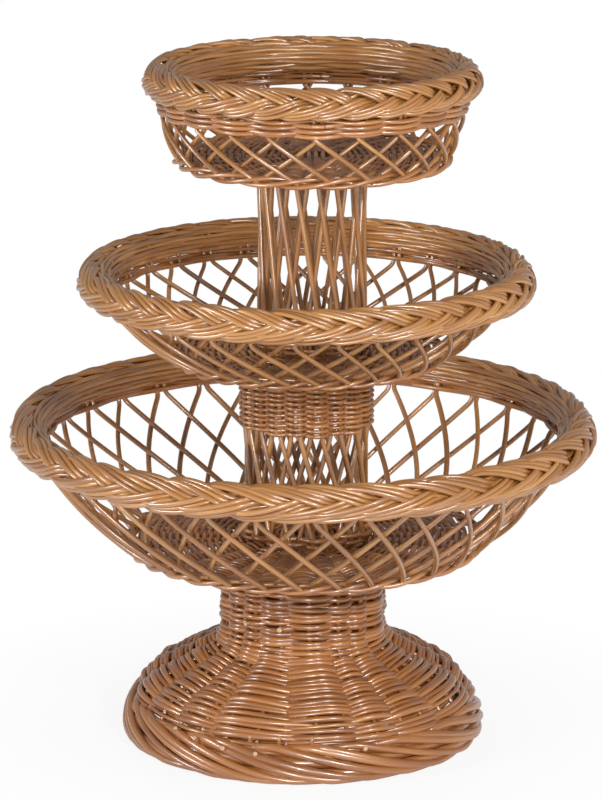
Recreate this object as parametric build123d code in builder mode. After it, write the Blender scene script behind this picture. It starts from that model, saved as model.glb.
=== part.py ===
"""Three tier willow basket stand: three footed bowls that stand in one another.

Each bowl has a floor woven on crossed sticks, a base edge, a lattice wall of two
sets of rods that lean opposite ways, a woven wall band and a plaited border.
The lower bowl stands on a flared woven foot. The other two stand on open
columns of crossed rods. Millimetres, +Z up, origin on the floor under the foot.
"""

import os
from dataclasses import dataclass
from math import asin, atan2, cos, degrees, hypot, radians, sin, tan

from build123d import *

os.makedirs("parts", exist_ok=True)

# Clearances
rod_clearance = 0.15  # round a rod, in the weave that grips it
seam_gap = 0.15  # between woven zones of one tier
tier_gap = 0.3  # under a tier that stands in the bowl below
crossing_gap = 0.6  # between two rods where they cross
weave_skin = 1.2  # least weave left beside a rod

# Plaited borders, alike on every bowl
border_half_width = 14.5
border_half_height = 15.0
plait_strand_count = 7  # strands that run round the border together
plait_strand_thickness = 4.0
plait_strand_gap = 0.3  # between a strand and the core that it lies on
plait_strand_taper = 0.55  # share of its size that a strand loses where it goes under
plait_pass_start = 6.0  # from the turn of a strand to where it comes up, degrees of its wave
plait_pass_end = 90.0  # from that turn to where it goes under
plait_strand_flat = 0.5  # share of a strand's width that is flat
plait_sections = 5  # of a strand, from end to end

# Floors, alike in every bowl
stick_diameter = 4.0
stick_layer_gap = 0.8  # between the two layers of crossed sticks
stick_pitch = 6.0  # between sticks where they lie side by side in the middle
sticks_per_layer = 4
cross_half_length = 15.0  # from the middle to where the sticks start to fan out
stick_bend_radius = 20.0
floor_skin = 1.0

# Lattice walls
base_edge_length = 11.0  # of the base edge, along the wall
base_edge_rounding = 3.0
base_edge_rise = 7.8  # from the floor's underside to the middle of the base edge
socket_end_cover = 1.5  # weave left under a wall rod in the base edge
band_lean = 12.0  # of the wall bands from upright, degrees
band_bend_radius = 12.0
band_bend_drop = 3.5  # from the wall band down to the corner of that bend
belly_share = 0.6  # share of the shorter run that a wall rod's belly takes up
base_pair_share = 0.23  # how far an inner rod starts beside an outer one, in pitches

# Lower bowl, with radii at the middle of the wall
lower_base_radius = 152.0
lower_band_inset = 24.0  # from the rim in to the foot of the wall band
lower_wall_height = 82.2
lower_wall_bulge = 8.0
lower_band_height = 19.5
lower_rim_radius = 250.0
lower_border_cover = 8.95  # from the top of the wall band up to the crest of the border
lower_rod_diameter = 4.6
lower_rod_count = 32
lower_twist = 20.4  # turn of a wall rod round the axis, degrees
lower_plait_units = 42  # strands that come over the border, all the way round
lower_strand_width = 11.6
lower_plait_line = 65.0  # where the strands meet, degrees outward from the crest
lower_plait_swing = 93.0  # of a strand to either side of that line, degrees

# Middle bowl
middle_axis_x = 3.0  # it stands a little to one side of the lower bowl
middle_base_radius = 115.0
middle_band_inset = 26.0
middle_wall_height = 46.2
middle_wall_bulge = 6.0
middle_band_height = 21.5
middle_rim_radius = 193.5
middle_border_cover = 9.0
middle_rod_diameter = 4.2
middle_rod_count = 30
middle_twist = 21.5
middle_plait_units = 39
middle_strand_width = 11.0
middle_plait_line = 65.0
middle_plait_swing = 93.0

# Upper basket
upper_axis_x = 8.0
upper_base_radius = 113.5
upper_band_inset = 15.0
upper_wall_height = 40.0
upper_wall_bulge = 3.2
upper_band_height = 13.9
upper_rim_radius = 141.5
upper_border_cover = 24.85
upper_rod_diameter = 3.9
upper_rod_count = 22
upper_twist = 24.2
upper_plait_units = 33
upper_strand_width = 9.2
upper_plait_line = 50.0
upper_plait_swing = 72.0

# Columns of the middle and upper tiers
middle_column_radius = 58.5
middle_column_height = 155.25
middle_collar_height = 56.0
middle_column_rod_diameter = 4.5
middle_column_rod_count = 18
middle_column_lean = 17.0  # of a rod from upright, degrees
upper_column_radius = 51.0
upper_column_height = 159.15
upper_collar_height = 7.0
upper_column_rod_diameter = 4.3
upper_column_rod_count = 16
upper_column_lean = 9.0
column_ring_height = 9.0
column_pair_gap = 7.5  # between the two rods of a pair in a collar, middle to middle
column_bend_radius = 12.0

# Foot of the lower tier
foot_height = 166.5  # floor to the underside of the lower bowl
foot_radius = 159.0
neck_radius = 70.5
neck_weave_height = 20.0  # coarse weave right under the bowl
neck_end_height = 82.0  # where the neck's line meets the skirt's
skirt_corner_radius = 141.0
skirt_corner_height = 45.0
neck_turn_radius = 28.0
skirt_turn_radius = 40.0
foot_stake_diameter = 4.2
foot_stake_count = 17  # and as many by-stakes between them on the skirt
by_stake_drop = 21.0  # from the neck's end down the skirt to where a by-stake starts
foot_border_half_length = 21.0
foot_border_half_thickness = 10.0
foot_border_lean = 20.0  # of its long section from upright, degrees
foot_border_flat_cut = 1.5
foot_socket_depth = 12.0


@dataclass
class Bowl:
    """One bowl: sizes that are set, and the line its wall follows from base to band."""

    name: str
    axis_x: float
    floor_bottom: float
    base_radius: float
    band_inset: float
    wall_height: float
    wall_bulge: float
    band_height: float
    rim_radius: float
    border_cover: float
    rod: float
    count: int
    twist: float
    plait_units: int
    strand_width: float
    plait_line: float
    plait_swing: float

    def __post_init__(self):
        self.floor_top = self.floor_bottom + floor_thickness
        self.base = Vector(self.base_radius, self.floor_bottom + base_edge_rise)
        self.band = Vector(self.rim_radius - self.band_inset, self.base.Y + self.wall_height)
        chord = (self.band - self.base).normalized()
        self.belly = (self.base + self.band) / 2 + outward(chord) * self.wall_bulge
        self.base_run = (self.belly - self.base).normalized()
        self.band_run = Vector(sin(radians(band_lean)), cos(radians(band_lean)))
        self.band_top = self.band.Y + self.band_height
        self.roll = Vector(
            self.rim_radius - border_half_width,
            self.band_top + self.border_cover - border_half_height,
        )
        self.crossing = (self.rod + crossing_gap) / 2
        self.half_width = self.crossing + self.rod / 2 + rod_clearance + weave_skin
        self.pitch = 360 / self.count


@dataclass
class Column:
    """One open column of crossed rods under a bowl."""

    name: str
    axis_x: float
    bottom: float
    radius: float
    height: float
    collar_height: float
    rod: float
    count: int
    lean: float

    def __post_init__(self):
        self.top = self.bottom + self.height
        self.spread = self.rod / 2 + rod_clearance + crossing_gap / 2
        self.half_width = self.spread + self.rod / 2 + rod_clearance + weave_skin
        self.middle = self.radius - self.half_width
        self.pitch = 360 / self.count


def outward(run):
    """The way out of the bowl, square to a run up its wall."""
    return Vector(run.Y, -run.X)


floor_thickness = 2 * stick_diameter + stick_layer_gap + 2 * floor_skin
core_half_width = border_half_width - plait_strand_thickness - plait_strand_gap
core_half_height = border_half_height - plait_strand_thickness - plait_strand_gap
lower = Bowl(
    "lower", 0, foot_height, lower_base_radius, lower_band_inset,
    lower_wall_height, lower_wall_bulge, lower_band_height, lower_rim_radius,
    lower_border_cover, lower_rod_diameter, lower_rod_count, lower_twist,
    lower_plait_units, lower_strand_width, lower_plait_line, lower_plait_swing,
)
middle_column = Column(
    "middle", middle_axis_x, lower.floor_top + tier_gap, middle_column_radius,
    middle_column_height, middle_collar_height, middle_column_rod_diameter,
    middle_column_rod_count, middle_column_lean,
)
middle = Bowl(
    "middle", middle_axis_x, middle_column.top + seam_gap, middle_base_radius,
    middle_band_inset, middle_wall_height, middle_wall_bulge, middle_band_height,
    middle_rim_radius, middle_border_cover, middle_rod_diameter, middle_rod_count,
    middle_twist, middle_plait_units, middle_strand_width, middle_plait_line,
    middle_plait_swing,
)
upper_column = Column(
    "upper", upper_axis_x, middle.floor_top + tier_gap, upper_column_radius,
    upper_column_height, upper_collar_height, upper_column_rod_diameter,
    upper_column_rod_count, upper_column_lean,
)
upper = Bowl(
    "upper", upper_axis_x, upper_column.top + seam_gap, upper_base_radius,
    upper_band_inset, upper_wall_height, upper_wall_bulge, upper_band_height,
    upper_rim_radius, upper_border_cover, upper_rod_diameter, upper_rod_count,
    upper_twist, upper_plait_units, upper_strand_width, upper_plait_line,
    upper_plait_swing,
)


def around(radius, angle, height):
    """A point at a radius and an angle in degrees round the axis of a tier."""
    return Vector(radius * cos(radians(angle)), radius * sin(radians(angle)), height)


def meridian(axis_x):
    """The upright plane through a tier's axis: radius across, height up."""
    return Plane(origin=(axis_x, 0, 0), x_dir=(1, 0, 0), z_dir=(0, -1, 0))


def upright(axis_x):
    """A tier's axis."""
    return Axis((axis_x, 0, 0), (0, 0, 1))


def write(piece, name):
    """Names a finished piece and writes its file."""
    piece.part.label = name
    export_step(piece.part, f"parts/{name}.step")


def ring(axis_x, inner_radius, outer_radius, bottom, top):
    """A plain ring of square section round a tier's axis."""
    with BuildPart() as body:
        with BuildSketch(meridian(axis_x)):
            with Locations(((inner_radius + outer_radius) / 2, (bottom + top) / 2)):
                Rectangle(outer_radius - inner_radius, top - bottom)
        revolve(axis=upright(axis_x))
    return body


def bent_rod(points, radii, radius):
    """A round rod along straight runs with rounded corners."""
    with BuildPart() as rod:
        with BuildLine() as path:
            FilletPolyline(*points, radius=radii)
        with BuildSketch(Plane(origin=path.line @ 0, z_dir=path.line % 0)):
            Circle(radius)
        sweep()
    return rod


def round_the_axis(piece, axis_x, count):
    """A group of separate copies of a piece, evenly spaced round a tier's axis."""
    with BuildPart() as group:
        with Locations((axis_x, 0, 0)):
            with PolarLocations(0, count):
                add(piece.part)
    return group


def floor_stick_paths(reach):
    """Lower layer of the crossed sticks: side by side in the middle, then fanned out."""
    fan = 90 / sticks_per_layer
    for index in range(sticks_per_layer):
        step = index - (sticks_per_layer - 1) / 2
        across = step * stick_pitch
        tip = around(reach, step * fan, 0)
        yield [
            Vector(-tip.X, tip.Y, 0),
            Vector(-cross_half_length, across, 0),
            Vector(cross_half_length, across, 0),
            tip,
        ]


def stick_reach(bowl):
    """How far from the axis a floor stick may reach without meeting the base edge."""
    lowest = bowl.base - bowl.base_run * base_edge_length / 2
    return lowest.X - bowl.half_width - seam_gap


def floor_sticks(bowl, radius, reach):
    """Both layers of crossed sticks of a bowl's floor."""
    layer = (stick_diameter + stick_layer_gap) / 2
    centre = (bowl.floor_bottom + bowl.floor_top) / 2
    rods = [bent_rod(points, stick_bend_radius, radius) for points in floor_stick_paths(reach)]
    with BuildPart() as sticks:
        for rod in rods:
            with Locations(Location((bowl.axis_x, 0, centre - layer), (0, 0, 0))):
                add(rod.part)
            with Locations(Location((bowl.axis_x, 0, centre + layer), (0, 0, 90))):
                add(rod.part)
    return sticks


def floor_weave(bowl):
    """Woven floor disc inside the base edge, with a channel for each of its sticks."""
    channels = floor_sticks(bowl, stick_diameter / 2 + rod_clearance, bowl.base_radius)
    edge = base_edge_ring(bowl, seam_gap)
    with BuildPart() as floor:
        with BuildSketch(Plane((bowl.axis_x, 0, bowl.floor_bottom))):
            Circle(bowl.base_radius - base_edge_length / 2)
        extrude(amount=floor_thickness)
        add(edge.part, mode=Mode.SUBTRACT)
        add(channels.part, mode=Mode.SUBTRACT)
    return floor


def base_edge_ring(bowl, margin):
    """The base edge's rounded ring, grown by a margin all round."""
    slope = degrees(atan2(bowl.base_run.Y, bowl.base_run.X))
    with BuildPart() as edge:
        with BuildSketch(meridian(bowl.axis_x)):
            with Locations((bowl.base.X, bowl.base.Y)):
                RectangleRounded(
                    base_edge_length + 2 * margin, 2 * (bowl.half_width + margin),
                    base_edge_rounding + margin, rotation=slope,
                )
        revolve(axis=upright(bowl.axis_x))
    return edge


def base_edge(bowl):
    """Thick rope like edge round the floor, with sockets for the wall rods."""
    body = base_edge_ring(bowl, 0)
    sockets = [lattice(bowl, side, bowl.rod / 2 + rod_clearance) for side in (1, -1)]
    with BuildPart() as edge:
        add(body.part)
        for socket in sockets:
            add(socket.part, mode=Mode.SUBTRACT)
    return edge


def wall_point(point, run, shift, angle):
    """A point beside the wall's line, turned round the bowl's axis."""
    moved = point + outward(run) * shift
    return around(moved.X, angle, moved.Y)


def round_radius(before, corner, after):
    """Radius of an arc that takes up the belly's share of the shorter run beside a corner."""
    turn = (corner - before).get_angle(after - corner)
    shorter = min((corner - before).length, (after - corner).length)
    return belly_share * shorter / tan(radians(turn) / 2)


def band_point(bowl, shift, height):
    """The point beside the wall's line that lies at a height above the foot of the wall band."""
    beside = outward(bowl.band_run) * shift
    return bowl.band + beside + bowl.band_run * ((height - beside.Y) / bowl.band_run.Y)


def lattice(bowl, side, radius):
    """One set of wall rods: side 1 is the outer set, side -1 the inner one, leaning the other way."""
    shift = side * bowl.crossing
    start = 0 if side > 0 else base_pair_share * bowl.pitch
    end = start - side * bowl.twist
    chord = (bowl.band - bowl.base).normalized()
    foot = bowl.base - bowl.base_run * (base_edge_length / 2 - socket_end_cover)
    bend = bowl.band - bowl.band_run * band_bend_drop
    tip = band_point(bowl, shift, bowl.band_height - bowl.rod / 2)
    points = [
        wall_point(foot, bowl.base_run, shift, start),
        wall_point(bowl.belly, chord, shift, (start + end) / 2),
        wall_point(bend, bowl.band_run, shift, end),
        around(tip.X, end, tip.Y),
    ]
    radii = [round_radius(*points[:3]), band_bend_radius]
    return round_the_axis(bent_rod(points, radii, radius), bowl.axis_x, bowl.count)


def wall_band(bowl):
    """Woven band that grips the upper ends of both sets of wall rods, level on top."""
    beside = outward(bowl.band_run) * bowl.half_width
    outer_top = band_point(bowl, bowl.half_width, bowl.band_height)
    inner_top = band_point(bowl, -bowl.half_width, bowl.band_height)
    channels = [lattice(bowl, side, bowl.rod / 2 + rod_clearance) for side in (1, -1)]
    with BuildPart() as band:
        with BuildSketch(meridian(bowl.axis_x)):
            with BuildLine():
                Polyline(bowl.band + beside, outer_top, inner_top, bowl.band - beside, close=True)
            make_face()
        revolve(axis=upright(bowl.axis_x))
        for channel in channels:
            add(channel.part, mode=Mode.SUBTRACT)
    return band


def plait_core(bowl):
    """Rods inside the plaited border, hooked over the top of the wall band from outside."""
    beside = bowl.half_width + seam_gap
    inside = bowl.roll.X - 2 * border_half_width
    with BuildPart() as core:
        with BuildSketch(meridian(bowl.axis_x)):
            with Locations((bowl.roll.X, bowl.roll.Y)):
                Ellipse(core_half_width, core_half_height)
            with BuildLine():
                Polyline(
                    band_point(bowl, beside, 0),
                    band_point(bowl, beside, bowl.band_height + seam_gap),
                    Vector(inside, bowl.band_top + seam_gap),
                    Vector(inside, bowl.band.Y),
                    close=True,
                )
            make_face(mode=Mode.SUBTRACT)
        revolve(axis=upright(bowl.axis_x))
    return core


def plait_place(bowl, wave, lift):
    """Where a strand lies at a phase of its wave, a lift above the core, and the way out there."""
    angle = wave * plait_strand_count / bowl.plait_units
    slant = radians(bowl.plait_line + bowl.plait_swing * sin(radians(wave)))
    out = Vector(sin(slant), cos(slant))
    beside = Vector(out.X * (core_half_width + lift), out.Y * (core_half_height + lift))
    place = bowl.roll + beside
    return around(place.X, angle, place.Y), around(out.X, angle, out.Y)


def plait_strand(bowl, turn):
    """One pass of a strand over the core: it comes up after a turn of its wave and tapers under."""
    with BuildPart() as strand:
        for index in range(plait_sections):
            share = index / (plait_sections - 1)
            wave = turn + plait_pass_start + share * (plait_pass_end - plait_pass_start)
            size = 1 - plait_strand_taper * (2 * share - 1) ** 2
            edge = size * bowl.strand_width / 2
            face = size * plait_strand_thickness / 2
            flat = plait_strand_flat * edge
            lift = plait_strand_gap + face
            here, out = plait_place(bowl, wave, lift)
            ahead = plait_place(bowl, wave + 1, lift)[0] - plait_place(bowl, wave - 1, lift)[0]
            with BuildSketch(Plane(origin=here, x_dir=out.cross(ahead), z_dir=ahead)):
                Polygon(
                    (edge, 0), (flat, face), (-flat, face), (-edge, 0), (-flat, -face), (flat, -face)
                )
        loft()
    return strand


def plait_border(bowl):
    """The plait's strands: half of them come over the crest, half come up from below."""
    passes = [plait_strand(bowl, turn) for turn in (-90, 90)]
    with BuildPart() as border:
        with Locations((bowl.axis_x, 0, 0)):
            with PolarLocations(0, bowl.plait_units):
                for strand in passes:
                    add(strand.part)
    return border


def column_rod(column, side, radius, bottom, top):
    """One column rod between two levels: it leans up to the collar and stands upright in it."""
    reach = column.middle + side * column.spread
    bend = column.top - column.collar_height
    lean_run = (bend - bottom) * tan(radians(column.lean))
    paired = side * degrees(column_pair_gap / 2 / column.middle)
    swing = side * degrees(2 * asin(lean_run / 2 / reach))
    points = [
        around(reach, paired + swing, bottom),
        around(reach, paired, bend),
        around(reach, paired, top),
    ]
    return bent_rod(points, column_bend_radius, radius)


def column_rods(column, side):
    """One set of column rods, from the bottom ring's sockets up to the bowl's floor."""
    rod = column_rod(column, side, column.rod / 2, column.bottom + weave_skin, column.top)
    return round_the_axis(rod, column.axis_x, column.count)


def column_ring(column, bottom, top):
    """Woven ring round both sets of column rods, with a channel for each rod."""
    inner = column.middle - column.half_width
    body = ring(column.axis_x, inner, column.radius, bottom, top)
    hole = column.rod / 2 + rod_clearance
    low = column.bottom + weave_skin - rod_clearance
    rods = [column_rod(column, side, hole, low, column.top + column.rod) for side in (1, -1)]
    channels = [round_the_axis(rod, column.axis_x, column.count) for rod in rods]
    with BuildPart() as woven:
        add(body.part)
        for channel in channels:
            add(channel.part, mode=Mode.SUBTRACT)
    return woven


def foot_line(shift):
    """The foot's line from the neck down to its border, shifted to one side of the weave."""
    neck = neck_radius - foot_half_thickness
    corners = [
        Vector(neck, foot_height - seam_gap),
        Vector(neck, neck_end_height),
        Vector(skirt_corner_radius - foot_half_thickness, skirt_corner_height),
        Vector(foot_border_radius, foot_border_centre),
    ]
    runs = [(after - before).normalized() for before, after in zip(corners, corners[1:])]
    sides = [Vector(-run.Y, run.X) for run in runs]
    moved = [corners[0] + sides[0] * shift]
    for corner, left, right in zip(corners[1:], sides, sides[1:]):
        moved.append(corner + (left + right) * (shift / (1 + left.dot(right))))
    moved.append(corners[-1] + sides[-1] * shift)
    return moved, [neck_turn_radius - shift, skirt_turn_radius + shift]


def foot_skin(bottom, top):
    """A stretch of the foot's woven wall between two levels, trimmed to the foot border."""
    outer, outer_radii = foot_line(foot_half_thickness)
    inner, inner_radii = foot_line(-foot_half_thickness)
    reach = foot_radius + foot_border_half_length
    channels = foot_stakes(foot_stake_diameter / 2 + rod_clearance)
    with BuildPart() as skin:
        with BuildSketch(meridian(lower.axis_x)):
            with BuildLine():
                outside = FilletPolyline(*outer, radius=outer_radii)
                inside = FilletPolyline(*inner, radius=inner_radii)
                Line(outside @ 0, inside @ 0)
                Line(outside @ 1, inside @ 1)
            make_face()
            with Locations((0, (bottom + top) / 2)):
                Rectangle(2 * reach, top - bottom, mode=Mode.INTERSECT)
            with Locations((foot_border_radius, foot_border_centre)):
                Ellipse(
                    foot_border_half_thickness + seam_gap, foot_border_half_length + seam_gap,
                    rotation=foot_border_lean, mode=Mode.SUBTRACT,
                )
        revolve(axis=upright(lower.axis_x))
        add(channels.part, mode=Mode.SUBTRACT)
    return skin


def foot_stakes(radius):
    """Stakes from the bowl's floor down into the foot border, with by-stakes between on the skirt."""
    (top, neck_end, skirt_corner, border), (neck_turn, skirt_turn) = foot_line(0)
    end = border + (skirt_corner - border).normalized() * (foot_border_half_length - foot_socket_depth)
    by_start = neck_end + (skirt_corner - neck_end).normalized() * by_stake_drop

    def stake(corners, radii):
        return bent_rod([Vector(corner.X, 0, corner.Y) for corner in corners], radii, radius)

    full = stake([top, neck_end, skirt_corner, end], [neck_turn, skirt_turn])
    short = stake([by_start, skirt_corner, end], skirt_turn)
    with BuildPart() as stakes:
        with Locations((lower.axis_x, 0, 0)):
            with PolarLocations(0, foot_stake_count):
                add(full.part)
            with PolarLocations(0, foot_stake_count, start_angle=180 / foot_stake_count):
                add(short.part)
    return stakes


def foot_border():
    """Tall rolled border that leans in with the skirt, flat underneath where the stand rests on it."""
    sockets = foot_stakes(foot_stake_diameter / 2 + rod_clearance)
    with BuildPart() as border:
        with BuildSketch(meridian(lower.axis_x)):
            with Locations((foot_border_radius, foot_border_centre)):
                Ellipse(foot_border_half_thickness, foot_border_half_length, rotation=foot_border_lean)
            with Locations((foot_border_radius, 0)):
                Rectangle(
                    2 * foot_border_half_length, foot_border_half_thickness,
                    align=(Align.CENTER, Align.MAX), mode=Mode.SUBTRACT,
                )
        revolve(axis=upright(lower.axis_x))
        add(sockets.part, mode=Mode.SUBTRACT)
    return border


foot_half_thickness = foot_stake_diameter / 2 + rod_clearance + weave_skin
foot_border_sine = sin(radians(foot_border_lean))
foot_border_cosine = cos(radians(foot_border_lean))
foot_border_radius = foot_radius - hypot(
    foot_border_half_length * foot_border_sine, foot_border_half_thickness * foot_border_cosine
)
foot_border_centre = -foot_border_flat_cut + hypot(
    foot_border_half_length * foot_border_cosine, foot_border_half_thickness * foot_border_sine
)
neck_weave_bottom = foot_height - neck_weave_height

# Foot of the lower tier
write(foot_border(), "foot_border")
write(foot_stakes(foot_stake_diameter / 2), "foot_stakes")
write(foot_skin(0, neck_weave_bottom - seam_gap), "foot_weave")
write(foot_skin(neck_weave_bottom, foot_height), "neck_weave")

# Columns of the middle and upper tiers
for column in (middle_column, upper_column):
    ring_top = column.bottom + column_ring_height
    write(column_ring(column, column.bottom, ring_top), f"{column.name}_column_ring")
    write(column_rods(column, 1), f"{column.name}_column_rods_outer")
    write(column_rods(column, -1), f"{column.name}_column_rods_inner")
    collar_bottom = column.top - column.collar_height
    write(column_ring(column, collar_bottom, column.top), f"{column.name}_column_collar")

# Bowls
for bowl in (lower, middle, upper):
    write(floor_sticks(bowl, stick_diameter / 2, stick_reach(bowl)), f"{bowl.name}_floor_sticks")
    write(floor_weave(bowl), f"{bowl.name}_floor_weave")
    write(base_edge(bowl), f"{bowl.name}_base_edge")
    write(lattice(bowl, 1, bowl.rod / 2), f"{bowl.name}_lattice_outer")
    write(lattice(bowl, -1, bowl.rod / 2), f"{bowl.name}_lattice_inner")
    write(wall_band(bowl), f"{bowl.name}_wall_band")
    write(plait_core(bowl), f"{bowl.name}_plait_core")
    write(plait_border(bowl), f"{bowl.name}_plait_border")
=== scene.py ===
import math

import bmesh
import bpy
import numpy as np
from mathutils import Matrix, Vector


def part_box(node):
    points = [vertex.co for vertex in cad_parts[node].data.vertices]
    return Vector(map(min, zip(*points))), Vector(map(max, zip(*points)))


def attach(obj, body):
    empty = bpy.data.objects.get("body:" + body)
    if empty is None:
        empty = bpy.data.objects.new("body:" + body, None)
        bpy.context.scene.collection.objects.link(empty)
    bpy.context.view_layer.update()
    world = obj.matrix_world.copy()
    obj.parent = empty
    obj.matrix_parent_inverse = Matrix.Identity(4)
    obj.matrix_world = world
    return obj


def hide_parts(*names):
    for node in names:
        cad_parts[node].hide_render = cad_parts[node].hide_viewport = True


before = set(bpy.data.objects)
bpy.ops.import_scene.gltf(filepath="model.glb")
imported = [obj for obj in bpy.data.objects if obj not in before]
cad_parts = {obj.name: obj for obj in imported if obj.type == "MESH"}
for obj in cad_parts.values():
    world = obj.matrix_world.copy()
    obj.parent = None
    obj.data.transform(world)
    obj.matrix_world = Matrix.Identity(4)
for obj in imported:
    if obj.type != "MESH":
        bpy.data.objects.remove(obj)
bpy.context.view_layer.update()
print("frame loaded:", len(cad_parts), "nodes")

mm = 0.001  # sizes below are in millimetres
fullTurn = 2 * math.pi
grainStart = 4000  # a rod is cut from anywhere in this much grain


# Rods are drawn as bevelled curves and kept as meshes. Each rod carries its own
# grain space (along, across, across) and a tone, so that grain follows the rod.

def rodMesh(name, rods, sides, dice):
    curve = bpy.data.curves.new(name, "CURVE")
    curve.dimensions = "3D"
    curve.bevel_depth = 1  # the points' radii hold the real size
    curve.bevel_resolution = sides // 2 - 2
    curve.use_fill_caps = True
    for points, radius in rods:
        spline = curve.splines.new("POLY")
        spline.points.add(len(points) - 1)
        spline.points.foreach_set("co", np.column_stack([points * mm, np.ones(len(points))]).ravel())
        spline.points.foreach_set("radius", np.broadcast_to(radius, len(points)) * mm)
        spline.use_smooth = True
    carrier = bpy.data.objects.new(name + "Line", curve)
    bpy.context.scene.collection.objects.link(carrier)
    mesh = bpy.data.meshes.new_from_object(carrier)
    bpy.data.objects.remove(carrier)
    bpy.data.curves.remove(curve)
    mesh.name = name
    addGrainSpace(mesh, rods, sides, dice)
    return mesh


def addGrainSpace(mesh, rods, sides, dice):
    capVerts = 2 * sides * len(rods)  # both caps of every rod come first
    space = np.zeros((len(mesh.vertices), 3), np.float32)
    tone = np.zeros(len(mesh.vertices), np.float32)
    round1 = np.arange(sides) * fullTurn / sides
    start = capVerts
    for points, radius in rods:
        steps = np.linalg.norm(np.diff(points, axis=0), axis=1)
        along = np.concatenate([[0], np.cumsum(steps)]) + dice.uniform(0, grainStart)
        girth = np.broadcast_to(radius, len(points))
        count = len(points) * sides
        block = space[start:start + count]
        block[:, 0] = np.repeat(along, sides) * mm
        block[:, 1] = (girth[:, None] * np.cos(round1)).ravel() * mm
        block[:, 2] = (girth[:, None] * np.sin(round1)).ravel() * mm
        tone[start:start + count] = dice.random()
        start += count
    assert start == len(mesh.vertices), (mesh.name, start, len(mesh.vertices))
    mesh.attributes.new("rodSpace", "FLOAT_VECTOR", "POINT").data.foreach_set("vector", space.ravel())
    mesh.attributes.new("rodTone", "FLOAT", "POINT").data.foreach_set("value", tone)


def weldCaps(mesh):
    shape = bmesh.new()
    shape.from_mesh(mesh)
    for face in shape.faces:
        if len(face.verts) == 3:  # caps are triangles, the rods' sides are quads
            face.material_index = 1
            face.smooth = False
    bmesh.ops.remove_doubles(shape, verts=shape.verts, dist=1e-7)
    shape.to_mesh(mesh)
    shape.free()


def makePiece(name, rods, body, nodes, slot, seed, sides=8):
    dice = np.random.default_rng(seed)
    mesh = rodMesh(name, rods, sides, dice)
    weldCaps(mesh)
    mesh.materials.append(finishes[slot])
    mesh.materials.append(cutEnd)
    piece = bpy.data.objects.new(name, mesh)
    bpy.context.scene.collection.objects.link(piece)
    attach(piece, body)
    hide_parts(*nodes)
    print(f"{name}: {len(rods)} rods, {sum(len(p.vertices) - 2 for p in mesh.polygons)} triangles")


# Small helpers for lines round an upright axis

def nodeBox(node):
    low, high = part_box(node)
    return np.array(low) / mm, np.array(high) / mm


def roundAxis(axisX, r, a, z):
    x, y, z = np.broadcast_arrays(axisX + r * np.cos(a), r * np.sin(a), z)
    return np.stack([x, y, z], axis=1)


def drift(a, size, dice, waves=(2, 3, 5, 8)):  # slow hand made wander round the axis
    total = sum(dice.normal() * np.sin(w * a + dice.uniform(0, fullTurn)) for w in waves)
    return size * total / math.sqrt(len(waves))


def easeStep(x, low, high):
    share = np.clip((x - low) / (high - low), 0, 1)
    return share * share * (3 - 2 * share)


def soften(points, passes):  # rounds the corners of a line and keeps its ends
    for _ in range(passes):
        points[1:-1] = (points[:-2] + 2 * points[1:-1] + points[2:]) / 4
    return points


# Materials

def addSocket(group, name, kind, way):
    return group.interface.new_socket(name=name, in_out=way, socket_type=kind)


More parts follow.
